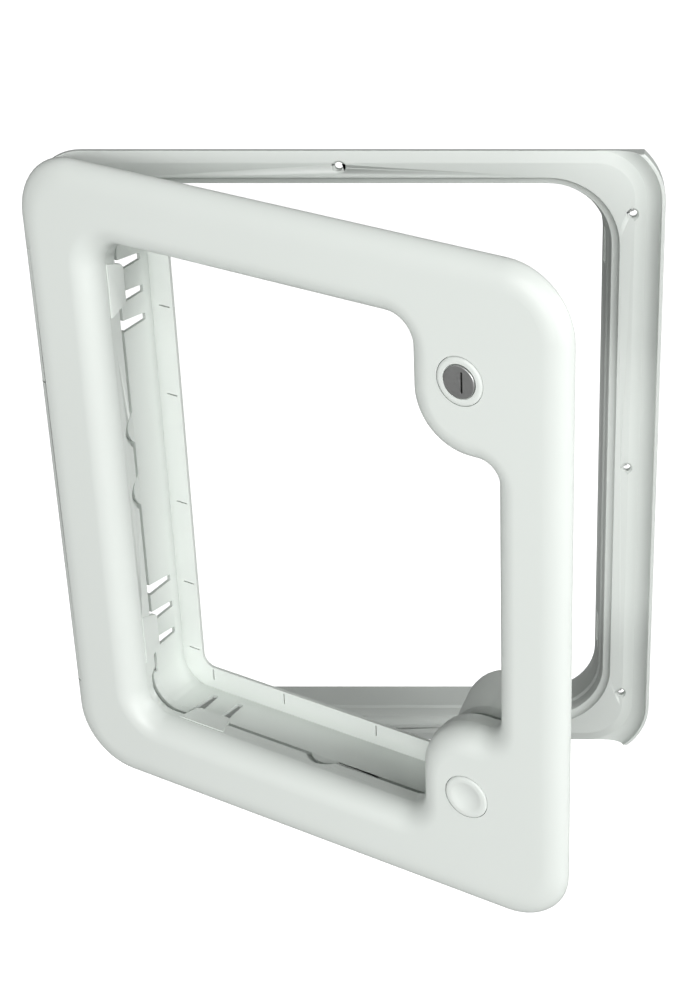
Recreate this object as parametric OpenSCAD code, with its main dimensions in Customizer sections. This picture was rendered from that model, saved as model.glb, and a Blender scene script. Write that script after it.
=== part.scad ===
// Service door of a cassette toilet: a frame screwed to the wall of a caravan and a
// hinged door with a key lock, a push button and two sprung latches.
// X runs along the wall, Y into the wall and Z up. The origin is the centre of the
// screw pattern, on the face that rests against the wall.
// Door parts are drawn in the door's own frame: X from the hinge axis along the door,
// Y from the hinge axis towards the back of the door.

/* [Pose] */
// Angle by which the door stands open in the model
open_angle = 29.7; // [0:0.1:90]

/* [Wall frame] */
// Width of the seat that the door closes over
frame_w = 336; // [320:1:380]
// Height of the wall frame
frame_h = 391; // [370:1:430]
// Corner radius of the seat
frame_r = 28; // [20:1:32]
// Thickness of the flange at its rim
base_t = 2.5; // [2:0.1:3]
// Height of the raised screw face above the rim
raise_t = 2; // [1:0.1:2.4]
// Width of the bevel around the screw face
bevel_w = 6.5; // [4:0.1:7]
// Width of the opening for the cassette, inside its lip
hatch_w = 298.8; // [290:0.1:300]
// Height of the opening for the cassette, inside its lip
hatch_h = 354.5; // [330:0.1:356]
// Corner radius of the opening
hatch_r = 36; // [30:1:42]
// Distance of the opening's middle below the middle of the seat
hatch_drop = 0.9; // [0:0.1:2]
// Width of the cove around the opening
cove_w = 4.1; // [3:0.1:5]
// Depth of the cove around the opening
cove_depth = 3.2; // [2:0.1:3.4]
// Depth of the collar behind the wall's face
collar_depth = 25.2; // [22:0.1:32]
// Inward slope of the collar from its lip to its back edge
collar_slope = 4.3; // [3:0.1:5]
// Thickness of the collar
collar_t = 2; // [1.5:0.1:3]
// Height of the lip along the right side, above the flange rim
wing_h = 6; // [4:0.1:7]
// Width of the cove between the seat and that lip
wing_w = 8; // [6:0.1:10]
// Thickness of that lip
wing_t = 2.2; // [1.6:0.1:3]

/* [Screws] */
// Distance between the two columns of screws
screw_w = 321.6; // [310:0.1:330]
// Distance between the upper and lower screws of a column
screw_h = 318.2; // [300:0.1:330]
// Distance between the top screw and the bottom screw
screw_mid_h = 373.6; // [368:0.1:376]
// Diameter of a screw hole
screw_d = 4.5; // [3.5:0.1:5]
// Diameter of a countersink
sink_d = 7.8; // [7:0.1:8.4]

/* [Door] */
// Width of the door
door_w = 344; // [340:0.5:345]
// Height of the door
door_h = 400; // [394:1:410]
// Corner radius of the door
door_r = 38; // [30:1:44]
// Thickness of the outer frame of the door
door_t = 7.5; // [7:0.1:9]
// Width over which the outer edge rounds off
edge_w = 16; // [10:1:17]
// Width over which the edge of the door's opening rounds off
flare_w = 15; // [10:1:16]
// Depth over which the edge of the door's opening rounds off
flare_depth = 14.2; // [12:0.1:15]
// Distance from the left edge of the door to its opening
bar_left = 48.6; // [46:0.1:52]
// Distance from the right edge of the door to its opening
bar_right = 44.6; // [40:0.1:48]
// Height of the door's top and bottom bars
bar_ends = 45.5; // [44:0.1:50]
// Corner radius of the door's opening
open_r = 16; // [12:1:20]
// Thickness of the skin in front of the hollow back
skin_t = 3; // [2.5:0.1:3.2]
// Thickness of the rim behind the rounded edge of the opening
rim_t = 5; // [4:0.1:6]
// Depth of the skirt behind that rim
skirt_depth = 7.4; // [6:0.1:9]
// Thickness of the skirt
skirt_t = 2.2; // [1.6:0.1:2.4]

/* [Lobes] */
// Width of a lobe, measured from the opening's right edge
lobe_w = 50; // [46:0.5:54]
// Height of a lobe
lobe_h = 70.5; // [66:0.5:74]
// Radius of a lobe's corner
lobe_r = 35; // [31:1:38]
// Fillet where a lobe meets the top or bottom bar
lobe_fillet = 14; // [10:1:16]
// Fillet where a lobe meets the right bar
bar_fillet = 10; // [8:1:12]

/* [Inner frame] */
// Wall of the inner frame
inner_t = 2.2; // [1.6:0.1:2.6]
// Depth of the inner frame behind the door's back face
inner_depth = 46.9; // [42:0.1:48]
// Depth of the inner frame around the lobes
lobe_depth = 56; // [52:0.5:58]
// Distance by which its walls lean over the opening around the lobes
lobe_lean = 4.5; // [2:0.5:5]
// Depth of its wider front part, which takes the skirt and its tabs
socket_depth = 20.2; // [18:0.1:22]
// Width of its inward flange on the left
flange_left = 12.5; // [10:0.1:18]
// Width of its inward flange on the right
flange_right = 13; // [10:1:18]
// Width of its inward flange at the top and bottom
flange_ends = 12.8; // [9:0.1:15]
// Thickness of its flange
flange_t = 2; // [1.5:0.1:3]
// Length of a ratchet slot
slot_len = 22; // [16:0.5:24]
// Height of a ratchet slot at its front end
slot_h = 7.5; // [5:0.5:8]

/* [Hinge] */
// Distance from the door's left edge to the hinge axis
hinge_in = 6.8; // [6:0.1:7]
// Distance of the hinge axis in front of the wall
hinge_out = 8; // [7.9:0.1:8.4]
// Diameter of a hinge pin
pin_d = 4; // [3:0.1:4.4]
// Radial play of a hinge pin
pin_play = 0.05; // [0.03:0.01:0.08]
// Diameter of a hinge knuckle
knuckle_d = 8; // [7.6:0.1:8]
// Height of a hinge
hinge_h = 82; // [70:1:90]
// Distance from the top or bottom of the door to the middle of a hinge
hinge_ends = 98; // [94:0.5:102]
// Height of one knuckle of the wall frame
frame_knuckle_h = 16; // [12:1:20]
// Outer radius of a hinge cover
cover_r = 7.7; // [7.5:0.05:7.7]
// Thickness of a hinge cover
cover_t = 2.3; // [1.6:0.1:2.5]

/* [Buttons and lock] */
// Distance from the opening's right edge to a button's axis
button_in = 16.7; // [16:0.1:19]
// Distance from the top of the opening to the lock's axis
lock_down = 23.5; // [22:0.1:30]
// Distance from the bottom of the opening to the push button's axis
push_up = 28.8; // [22:0.1:30]
// Diameter of a button
button_d = 26.8; // [25:0.1:27]
// Height of a button above the door's face
button_proud = 0.8; // [0.4:0.1:1.5]
// Diameter of a button's tube
tube_d = 23.6; // [22.5:0.1:23.8]
// Diameter of the lock barrel
barrel_d = 18.4; // [16:0.1:18.6]
// Depth of the barrel's face behind the button's face
barrel_sunk = 1.5; // [0.8:0.1:2]
// Diameter of the thumb dish
dish_d = 19; // [16:0.5:20]
// Depth of the thumb dish
dish_depth = 1.6; // [1:0.1:2]
// Travel of a button and of its latch
travel = 4; // [3:0.1:4]

/* [Latches] */
// Length of a latch's nose outside the housing
nose_len = 10.8; // [9:0.1:12]
// Height of a latch's nose
nose_h = 14; // [10:1:16]
// Thickness of a latch's nose
nose_t = 8; // [6:0.5:9]
// Depth of a latch's nose behind the hinge axis
nose_y = 20; // [20:0.1:20.2]

/* [Fits] */
// Gap around a sliding part
slide_gap = 0.3; // [0.2:0.05:0.4]
// Gap between parts that sit in each other
seat_gap = 0.3; // [0.2:0.05:0.4]

/* [Hidden] */
curve_fn = 96;
corner_steps = 8;
lobe_steps = 12;
edge_steps = 7;
plastic = [0.87, 0.89, 0.87];
shade = [0.74, 0.77, 0.75];
steel = [0.72, 0.73, 0.74];
rubber = [0.18, 0.19, 0.2];

hinge_x = -frame_w / 2 + 2;
face_y = -base_t - raise_t;
door_back = -2.5;
door_front = door_back - door_t;
door_x = door_w / 2 - hinge_in;
open_left = bar_left - hinge_in;
open_right = door_w - bar_right - hinge_in;
open_h = door_h - 2 * bar_ends;
hinge_z = door_h / 2 - hinge_ends;
lobe_x = open_right - lobe_w;
lobe_z = open_h / 2 - lobe_h;
button_x = open_right - button_in;
pocket_y = door_front + skin_t;
pocket_in = 5.5;
pocket_out = 8.5;
wing_reach = wing_w + wing_t;
rim_back = door_front + flare_depth;
skirt_back = rim_back + skirt_depth;
inner_in = skirt_t + seat_gap;
inner_out = inner_in + inner_t;
socket_in = inner_in + 1.7;
socket_out = socket_in + inner_t;
inner_front = rim_back + seat_gap;
inner_back = door_back + inner_depth;
socket_back = door_back + socket_depth;
lobe_back = door_back + lobe_depth;
cut = 1;

// One corner of an outline: centre, radius, first angle and last angle.
// A turn the other way round is a corner that bends inwards.
function corner_arc(c, grow) =
  let (inward = c[4] < c[3], r = inward ? c[2] - grow : c[2] + grow,
       steps = inward ? lobe_steps : corner_steps)
  [for (i = [0:steps]) let (a = c[3] + (c[4] - c[3]) * i / steps)
    [c[0] + r * cos(a), c[1] + r * sin(a)]];

function outline(corners, grow) = [for (c = corners) each corner_arc(c, grow)];

function box_corners(w, h, r, x = 0, z = 0) =
  [for (q = [0:3])
    let (sx = q == 0 || q == 3 ? 1 : -1, sz = q < 2 ? 1 : -1)
    [x + sx * (w / 2 - r), z + sz * (h / 2 - r), r, 90 * q, 90 * q + 90]];

// The outline of the door's opening, from its lower left corner and round by the right.
open_corners = [
  [open_left + open_r, -open_h / 2 + open_r, open_r, 180, 270],
  [lobe_x - lobe_fillet, -open_h / 2 + lobe_fillet, lobe_fillet, 270, 360],
  [lobe_x + lobe_r, -lobe_z - lobe_r, lobe_r, 180, 90],
  [open_right - bar_fillet, -lobe_z + bar_fillet, bar_fillet, 270, 360],
  [open_right - bar_fillet, lobe_z - bar_fillet, bar_fillet, 0, 90],
  [lobe_x + lobe_r, lobe_z + lobe_r, lobe_r, 270, 180],
  [lobe_x - lobe_fillet, open_h / 2 - lobe_fillet, lobe_fillet, 0, 90],
  [open_left + open_r, open_h / 2 - open_r, open_r, 90, 180]];
door_corners = box_corners(door_w, door_h, door_r, door_x);
seat_corners = box_corners(frame_w, frame_h, frame_r);
hatch_corners = box_corners(hatch_w, hatch_h, hatch_r, 0, -hatch_drop);

function unit_z(side) = side > 0 ? open_h / 2 - lock_down : push_up - open_h / 2;

function ring(corners, grow, y) = [for (p = outline(corners, grow)) [p[0], y, p[1]]];

// A solid through rings of equal length, the first ring in front.
module skin(rings) {
  n = len(rings[0]);
  m = len(rings);
  polyhedron(
    points = [for (r = rings) each r],
    faces = concat(
      [[for (j = [n - 1:-1:0]) j]],
      [for (i = [0:m - 2], j = [0:n - 1])
        let (k = (j + 1) % n)
        [i * n + j, i * n + k, (i + 1) * n + k, (i + 1) * n + j]],
      [[for (j = [0:n - 1]) (m - 1) * n + j]]));
}

// A closed band whose section runs round an outline. The section goes round with its
// outer side from front to back.
module band(corners, section) {
  n = len(outline(corners, 0));
  m = len(section);
  polyhedron(
    points = [for (s = section) each ring(corners, s[0], s[1])],
    faces = [for (i = [0:m - 1], j = [0:n - 1])
      let (k = (j + 1) % n, i2 = (i + 1) % m)
      [i * n + j, i * n + k, i2 * n + k, i2 * n + j]]);
}

// A flat piece in the plane of the door or wall, between two depths.
module slab(y0, y1)
  translate([0, y1, 0]) rotate([90, 0, 0]) linear_extrude(y1 - y0) children();

// A round bar along Y between two depths.
module bar_y(r, y0, y1, r2 = -1)
  translate([0, y1, 0]) rotate([90, 0, 0])
    cylinder(h = y1 - y0, r1 = r, r2 = r2 < 0 ? r : r2, $fn = curve_fn);

module bar_z(r, h) cylinder(h = h, r = r, center = true, $fn = curve_fn);

module place_door() translate([hinge_x, -hinge_out, 0]) rotate([0, 0, -open_angle]) children();

module at_hinges() for (s = [-1, 1]) translate([0, 0, s * hinge_z]) children();

// Wall frame

screw_places = [
  for (s = [-1, 1], q = [-1, 0, 1]) [s * screw_w / 2, q * screw_h / 2],
  for (s = [-1, 1]) [0, s * screw_mid_h / 2]];

cove_rings = [for (i = [0:edge_steps])
  let (t = 90 * i / edge_steps)
  ring(hatch_corners, cove_w * cos(t), face_y + cove_depth * sin(t))];

// The collar's inner line behind the lip: depth and part of its slope
collar_line = [[1.7, 0.28], [5, 0.36], [7, 0.6], [collar_depth - 5.4, 0.72], [collar_depth, 1]];

module hatch_cutter() skin(concat(
  [ring(hatch_corners, cove_w, face_y - cut)], cove_rings,
  [for (p = collar_line) ring(hatch_corners, -collar_slope * p[1], p[0])],
  [ring(hatch_corners, -collar_slope, collar_depth + cut)]));

module collar() skin(concat(
  [ring(hatch_corners, collar_t, -base_t)],
  [for (p = collar_line) ring(hatch_corners, collar_t - collar_slope * p[1], p[0])]));

// Section of the right-hand lip: distance outwards from the seat, height from the wall.
wing_top = base_t + wing_h;
wing_foot = base_t - 0.1;
wing_section = concat(
  [[-bevel_w / 2, 0], [wing_reach, 0], [wing_reach, wing_top - wing_t / 2],
   [wing_reach - wing_t / 3, wing_top], [wing_w, wing_top]],
  [for (i = [edge_steps - 1:-1:0])
    let (t = 90 * i / edge_steps)
    [wing_w * sin(t), wing_foot + (wing_top - wing_foot) * (1 - cos(t))]],
  [[-bevel_w / 2, wing_foot]]);

module wing_corner()
  translate([frame_w / 2 - frame_r, 0, frame_h / 2 - frame_r])
    rotate([90, 0, 0]) rotate_extrude(angle = 90, $fn = curve_fn)
      translate([frame_r, 0]) polygon(wing_section);

module wing() {
  straight = frame_h - 2 * frame_r;
  intersection() {
    union() {
      translate([frame_w / 2, 0, -straight / 2]) linear_extrude(straight)
        polygon([for (p = wing_section) [p[0], -p[1]]]);
      wing_corner();
      mirror([0, 0, 1]) wing_corner();
    }
    translate([0, -wing_top - cut, -frame_h / 2])
      cube([frame_w, wing_top + 2 * cut, frame_h]);
  }
}

module screw_hole() {
  sink_depth = (sink_d - screw_d) / 2;
  bar_y(screw_d / 2, face_y - cut, cut);
  bar_y(screw_d / 2, face_y, face_y + sink_depth, sink_d / 2);
  bar_y(sink_d / 2, face_y - cut, face_y);
}

// Space that a latch's nose enters through the collar's right wall
strike_y0 = nose_y - hinge_out - 0.7;
strike_y1 = nose_y - hinge_out + nose_t + 2;
module strike_window(side)
  translate([hatch_w / 2 - collar_slope - cut, strike_y0, unit_z(side) - nose_h / 2 - 4])
    cube([collar_slope + 3 * cut, strike_y1 - strike_y0, nose_h + 8]);

knuckle_r = knuckle_d / 2;
module frame_knuckles()
  at_hinges() for (s = [-1, 1])
    translate([hinge_x, 0, s * (hinge_h - frame_knuckle_h) / 2]) {
      translate([0, -hinge_out, 0]) bar_z(knuckle_r, frame_knuckle_h);
      translate([0, -knuckle_r - 2, -frame_knuckle_h / 2])
        cube([3.4, knuckle_r + 2, frame_knuckle_h]);
    }

module pin_bores()
  at_hinges() translate([hinge_x, -hinge_out, 0]) bar_z(pin_d / 2 + pin_play, hinge_h + 2 * cut);

// Room for the hinge covers to swing past the rim of the seat
module hinge_relief() difference() {
  at_hinges() translate([-frame_w / 2 - cut, face_y - cut, -hinge_h / 2 - cut])
    cube([hinge_x + frame_w / 2 + cut, -face_y + 2 * cut, hinge_h + 2 * cut]);
  frame_knuckles();
}

module wall_frame() color(plastic) difference() {
  union() {
    slab(-base_t, 0) polygon(outline(seat_corners, 0));
    skin([ring(seat_corners, -bevel_w, face_y), ring(seat_corners, 0, -base_t),
          ring(seat_corners, 0, -base_t / 2)]);
    collar();
    wing();
    frame_knuckles();
  }
  hatch_cutter();
  hinge_relief();
  for (p = screw_places) translate([p[0], 0, p[1]]) screw_hole();
  for (side = [-1, 1]) strike_window(side);
  pin_bores();
}

module hinge_pin(side) color(steel)
  translate([hinge_x, -hinge_out, side * hinge_z]) bar_z(pin_d / 2, hinge_h - 2 * slide_gap);

// Door outer frame

pillow_rings = [for (i = [0:edge_steps])
  let (t = 90 * i / edge_steps)
  ring(door_corners, -edge_w * (1 - sin(t)), door_back - door_t * cos(t))];

flare_rings = [for (i = [0:edge_steps])
  let (t = 90 * i / edge_steps)
  ring(open_corners, flare_w * (1 - sin(t)), door_front + flare_depth * (1 - cos(t)))];

module back_pocket() slab(pocket_y, door_back + cut) difference() {
  polygon(outline(door_corners, -pocket_in));
  polygon(outline(open_corners, pocket_out));
}

// The skirt's back edge, with its half-round notches and its longer tabs
notch_w = 20;
notch_depth = 5;
notch_r = (notch_w * notch_w / 4 + notch_depth * notch_depth) / (2 * notch_depth);
left_notches = [32, -9];
bottom_notches = [162];
tab_depth = 6;
left_tabs = [122.2, -106.3];
bottom_tabs = [80];
tab_w = 27.4;
tab_lead = skirt_depth - 0.2;
tab_slope = 0.34;
tab_proud = 0.5;
relief_y = 7.9;

module skirt() {
  difference() {
    slab(rim_back - cut, skirt_back) difference() {
      polygon(outline(open_corners, skirt_t));
      polygon(outline(open_corners, 0));
    }
    for (z = left_notches) translate([open_left, skirt_back + notch_r - notch_depth, z])
      rotate([0, 90, 0]) bar_z(notch_r, 4 * skirt_t);
    for (x = bottom_notches) translate([x, skirt_back + notch_r - notch_depth, -open_h / 2])
      bar_z(notch_r, 4 * skirt_t);
    corner_relief();
  }
  for (z = left_tabs) translate([open_left - skirt_t, skirt_back, z])
    rotate([90, 0, 90]) linear_extrude(skirt_t + tab_proud) tab_shape();
  for (x = bottom_tabs) translate([x, skirt_back, -open_h / 2 - skirt_t])
    linear_extrude(skirt_t + tab_proud) rotate(-90) mirror([1, 0]) tab_shape();
}

// A tab of the skirt: it stands a little proud and narrows towards its tip
function tab_half(d) = tab_w / 2 - tab_slope * d;
module tab_shape()
  polygon([[-tab_lead, tab_half(-tab_lead)], [-tab_lead, -tab_half(-tab_lead)],
           [tab_depth - 1.4, -tab_half(tab_depth - 1.4)], [tab_depth, 1.4 - tab_half(tab_depth)],
           [tab_depth, tab_half(tab_depth) - 1.4], [tab_depth - 1.4, tab_half(tab_depth - 1.4)]]);

// The skirt is cut back round the opening's lower left corner
module corner_relief() {
  translate([open_left - 3, 0, -open_h / 2]) rotate([90, 0, 90]) linear_extrude(open_r + 4)
    polygon([[relief_y, -3], [relief_y, 20.5], [skirt_back + cut, 27], [skirt_back + cut, -3]]);
  translate([open_left - 3, 0, -open_h / 2 - 3]) linear_extrude(6)
    polygon([[0, relief_y], [27, relief_y], [33.5, skirt_back + cut], [0, skirt_back + cut]]);
}

hole_r = button_d / 2 + slide_gap;
door_knuckle_h = hinge_h - 2 * frame_knuckle_h - 2 * slide_gap;

module hinge_cuts() at_hinges() {
  translate([-hinge_in - cut, door_front - cut, -hinge_h / 2 - slide_gap])
    cube([hinge_in + cut - 1, door_t + 3 * cut, hinge_h + 2 * slide_gap]);
  bar_z(knuckle_r + 0.6, hinge_h + 2 * slide_gap);
}

module door_knuckles() at_hinges() {
  bar_z(knuckle_r, door_knuckle_h);
  translate([-0.5, pocket_y - cut, -door_knuckle_h / 2])
    cube([knuckle_r, -pocket_y + cut, door_knuckle_h]);
}

module door_outer_frame() color(plastic) place_door() difference() {
  union() {
    difference() {
      union() {
        difference() {
          skin(pillow_rings);
          back_pocket();
        }
        slab(door_back - cut, rim_back) polygon(outline(open_corners, rim_t));
      }
      skin(concat([ring(open_corners, flare_w, door_front - cut)], flare_rings,
                  [ring(open_corners, 0, rim_back + cut)]));
      hinge_cuts();
    }
    skirt();
    door_knuckles();
  }
  for (side = [-1, 1]) translate([button_x, 0, unit_z(side)])
    bar_y(hole_r, door_front - cut, door_back + cut);
  at_hinges() bar_z(pin_d / 2 + pin_play, hinge_h);
}

// Door inner frame

left_slots = [128.4, 109, 91.6, -82.3, -101, -119.8];
bottom_slots = [70, 89];
flange_cuts = [99.4, 43.3, -28.3, -84.4, -132];
bottom_flange_cuts = [61.2, 114.3, 181];
slot_front = door_back + 16.5;
flange_cut_w = 0.8;
flange_cut_l = 7.5;

// A slot that narrows towards its back end, cut through a wall
module ratchet_slot() linear_extrude(4 * inner_out, center = true)
  polygon([[slot_front, 0], [slot_front + slot_len, 0.8],
           [slot_front + slot_len, 0.8 + 0.55 * slot_h], [slot_front, slot_h]]);

module left_slot_set()
  for (z = left_slots) translate([0, 0, z]) rotate([0, 90, 0]) rotate([0, 0, 90]) ratchet_slot();

module flange_opening() {
  intersection() {
    translate([open_left + flange_left, -open_h / 2 + flange_ends])
      square([open_right - open_left - flange_left - flange_right, open_h - 2 * flange_ends]);
    polygon(outline(open_corners, -inner_in));
  }
  intersection() {
    lobe_zone();
    polygon(outline(open_corners, 0));
  }
}

module lobe_zone() for (s = [-1, 1])
  translate([lobe_x - lobe_lean - 4, s < 0 ? -open_h / 2 - 10 : lobe_z - 12])
    square([lobe_w + 20, open_h / 2 - lobe_z + 22]);

module wall_band(g0, g1) difference() {
  polygon(outline(open_corners, g1));
  polygon(outline(open_corners, g0));
}

// The walls around the lobes lean over the opening towards the back
lean_from = socket_back + 6;
module leaning_wall() intersection() {
  difference() {
    skin([ring(open_corners, inner_out, lean_from),
          ring(open_corners, inner_out - 0.2, inner_back),
          ring(open_corners, inner_t - lobe_lean, lobe_back - 2),
          ring(open_corners, inner_t - lobe_lean, lobe_back)]);
    skin([ring(open_corners, inner_in + 0.3, lean_from - cut),
          ring(open_corners, inner_in - 0.1, lean_from + 0.4),
          ring(open_corners, -lobe_lean, lobe_back - 2),
          ring(open_corners, -lobe_lean, lobe_back + cut)]);
  }
  slab(lean_from, lobe_back) lobe_zone();
}

module door_inner_frame() color(shade) place_door() difference() {
  union() {
    slab(inner_front, socket_back + inner_t) wall_band(socket_in, socket_out);
    slab(socket_back, socket_back + inner_t) wall_band(inner_in, socket_out);
    slab(socket_back, inner_back - flange_t) wall_band(inner_in, inner_out);
    slab(inner_back - flange_t, inner_back) difference() {
      polygon(outline(open_corners, inner_out));
      flange_opening();
    }
    leaning_wall();
  }
  translate([open_left - inner_in, 0, 0]) left_slot_set();
  for (x = bottom_slots, s = [-1, 1]) translate([x, 0, s * (open_h / 2 + inner_in)])
    rotate([0, 0, 90]) ratchet_slot();
  for (z = flange_cuts)
    translate([open_left + flange_left - 2.3 - flange_cut_l, inner_back - flange_t - cut, z])
      cube([flange_cut_l, flange_t + 2 * cut, flange_cut_w]);
  for (x = bottom_flange_cuts, s = [-1, 1])
    translate([x, inner_back - flange_t - cut,
               s * (open_h / 2 - flange_ends + 1.5 + flange_cut_l / 2) - flange_cut_l / 2])
      cube([flange_cut_w, flange_t + 2 * cut, flange_cut_l]);
}

// Door seal: a base in the hollow of the door and a bulb that meets the wall frame
seal_in = 11.6;
seal_w = 4;
bulb_r = 2.4;
seal_back = hinge_out + face_y - seat_gap;
seal_section = concat(
  [[-seal_in, pocket_y], [-seal_in, seal_back - 2 * bulb_r]],
  [for (i = [0:6]) let (a = -45 + 45 * i)
    [-seal_in - seal_w / 2 + bulb_r * cos(a), seal_back - bulb_r + bulb_r * sin(a)]],
  [[-seal_in - seal_w, seal_back - 2 * bulb_r], [-seal_in - seal_w, pocket_y]]);

module door_seal() color(rubber) place_door() band(door_corners, seal_section);

// Hinge covers: a round shell about the hinge axis on the door's left edge
cover_from = 200;
cover_to = 260;
module hinge_cover(side) color(plastic) place_door()
  translate([0, 0, side * hinge_z - hinge_h / 2 + slide_gap])
    rotate([0, 0, cover_from]) rotate_extrude(angle = cover_to - cover_from, $fn = curve_fn)
      translate([cover_r - cover_t, 0]) square([cover_t, hinge_h - 2 * slide_gap]);

// Housing of a button and its latch, drawn about the button's axis
house_l = 19;
house_r = 29;
house_h = 43;
house_t = 1.8;
house_back = 34;
shelf_y = 6;
shelf_t = 2;
plate_y = nose_y + nose_t / 2;
nose_back = nose_y + nose_t;
plate_h = 26;
tube_r = tube_d / 2;

module unit_place(side) place_door() translate([button_x, 0, unit_z(side)])
  mirror([0, 0, side < 0 ? 1 : 0]) children();

module box_between(x0, x1, y0, y1, z0, z1)
  translate([x0, y0, z0]) cube([x1 - x0, y1 - y0, z1 - z0]);

module housing(side) color(shade) unit_place(side) difference() {
  box_between(-house_l, house_r, pocket_y, house_back, -house_h / 2, house_h / 2);
  difference() {
    box_between(-house_l + house_t, house_r - house_t, pocket_y - cut, house_back + cut,
      -house_h / 2 + house_t, house_h / 2 - house_t);
    box_between(-house_l, house_r, shelf_y, shelf_y + shelf_t, -house_h / 2, house_h / 2);
  }
  bar_y(tube_r + slide_gap, shelf_y - cut, shelf_y + shelf_t + cut);
  box_between(house_r - house_t - cut, house_r + cut, nose_y - slide_gap, nose_back + slide_gap,
    -nose_h / 2 - slide_gap, nose_h / 2 + slide_gap);
}

module housing_cover(side) color(shade) unit_place(side) {
  box_between(-house_l, house_r, house_back, house_back + house_t, -house_h / 2, house_h / 2);
  for (s = [-1, 1])
    box_between(-house_l + 2 * house_t, house_r - 2 * house_t, nose_back + slide_gap, house_back,
      s * 10 - house_t / 2, s * 10 + house_t / 2);
}

// Button: a cap and a tube with two wedge legs that push the latch back
cap_y = door_front - button_proud;
cap_back = -2;
tube_back = 12;
leg_back = plate_y - travel - 0.4;
leg_x0 = -5;
leg_x1 = 3;
leg_slope_x = 0;
leg_z0 = 9.5;
leg_z1 = 11.6;
cap_round = 2;

module button_body(side) unit_place(side) {
  translate([0, cap_back, 0]) rotate([90, 0, 0]) rotate_extrude($fn = curve_fn)
    polygon(concat(
      [[0, 0], [button_d / 2, 0]],
      [for (i = [0:6]) let (a = 15 * i)
        [button_d / 2 - cap_round + cap_round * cos(a),
         cap_back - cap_y - cap_round * 0.6 * (1 - sin(a))]],
      [[0, cap_back - cap_y]]));
  bar_y(tube_r, cap_back - cut, tube_back);
  bar_y(tube_r + 0.8, shelf_y + shelf_t + 0.4, shelf_y + shelf_t + 2);
  for (s = [-1, 1]) slide_legs(s);
}

module slide_legs(s)
  translate([0, 0, s > 0 ? leg_z0 : -leg_z1]) linear_extrude(leg_z1 - leg_z0)
    polygon([[leg_x0, tube_back - cut], [leg_x1, tube_back - cut], [leg_x1, leg_back],
             [leg_slope_x, leg_back], [leg_x0, leg_back - (leg_slope_x - leg_x0)]]);

barrel_r = barrel_d / 2;
barrel_front = cap_y + barrel_sunk;
barrel_back = 14;
cam_t = 2.5;
clip_t = 1.5;

module lock_button() color(plastic) difference() {
  button_body(1);
  unit_place(1) {
    bar_y(barrel_r + pin_play, cap_y - cut, tube_back + cut);
    bar_y(barrel_r + 0.9, cap_y - cut, cap_y + 1, barrel_r + 0.9);
  }
}

module push_button() color(plastic) difference() {
  button_body(-1);
  unit_place(-1) {
    dish_r = (dish_d * dish_d / 4 + dish_depth * dish_depth) / (2 * dish_depth);
    translate([0, cap_y + dish_depth - dish_r, 0]) rotate([90, 0, 0])
      sphere(r = dish_r, $fn = curve_fn);
    bar_y(tube_r - 2, cap_back, tube_back + cut);
  }
}

module lock_barrel() color(steel) unit_place(1) difference() {
  union() {
    bar_y(barrel_r, barrel_front, barrel_back);
    bar_y(3, barrel_back - cut, barrel_back + cam_t + clip_t + 0.6);
  }
  box_between(-0.8, 0.8, barrel_front - cut, barrel_front + 8, -5.5, 5.5);
}

module lock_cam() color(steel) unit_place(1) slab(barrel_back, barrel_back + cam_t)
  difference() {
    union() {
      circle(r = 5.2, $fn = curve_fn);
      translate([-8.6, -3]) square([8.6, 6]);
    }
    circle(r = 3 + pin_play, $fn = curve_fn);
  }

module lock_clip() color(steel) unit_place(1)
  slab(barrel_back + cam_t, barrel_back + cam_t + clip_t) difference() {
    circle(r = 4.6, $fn = curve_fn);
    circle(r = 3 + pin_play, $fn = curve_fn);
  }

// Latch: a plate with two ramps and a bevelled nose
ramp_gap = 0.42;
plate_x0 = -11;
ramp_top = leg_back - (leg_slope_x - leg_x0) + ramp_gap;
ramp_foot = leg_x0 + plate_y - ramp_top;

module latch(side) color(steel) unit_place(side) {
  box_between(plate_x0, house_r - house_t - slide_gap - 1, plate_y, nose_back,
    -plate_h / 2, plate_h / 2);
  for (s = [-1, 1]) translate([0, 0, s > 0 ? leg_z0 : -leg_z1])
    linear_extrude(leg_z1 - leg_z0)
      polygon([[leg_x0 - 3, plate_y + cut], [leg_x0 - 3, ramp_top], [leg_x0, ramp_top],
               [ramp_foot, plate_y], [ramp_foot, plate_y + cut]]);
  translate([0, 0, -nose_h / 2]) linear_extrude(nose_h)
    polygon([[house_r - house_t - 8, nose_y], [house_r + nose_len, nose_y],
             [house_r + nose_len, nose_y + 1.5], [house_r + nose_len - nose_t + 1.5, nose_back],
             [house_r - house_t - 8, nose_back]]);
}

// Coil springs
coil_steps = 12;
wire_sides = 8;

module coil(r, wire_r, length, turns) {
  count = turns * coil_steps;
  rings = [for (i = [0:count]) let (a = 360 * i / coil_steps, y = length * i / count)
    [for (j = [0:wire_sides - 1])
      let (b = 360 * j / wire_sides, q = r + wire_r * cos(b))
      [q * cos(a), q * sin(a), y + wire_r * sin(b)]]];
  n = wire_sides;
  polyhedron(
    points = [for (g = rings) each g],
    faces = concat(
      [[for (j = [0:n - 1]) j]],
      [for (i = [0:count - 1], j = [0:n - 1])
        let (k = (j + 1) % n)
        [i * n + j, (i + 1) * n + j, (i + 1) * n + k, i * n + k]],
      [[for (j = [n - 1:-1:0]) count * n + j]]));
}

button_wire = 0.45;
latch_wire = 0.35;
module button_coil(side) color(steel) unit_place(side)
  translate([0, shelf_y - button_wire, 0]) rotate([90, 0, 0])
    coil(tube_r + 0.6 + button_wire, button_wire,
      shelf_y - cap_back - 2 * button_wire, 3);

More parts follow.
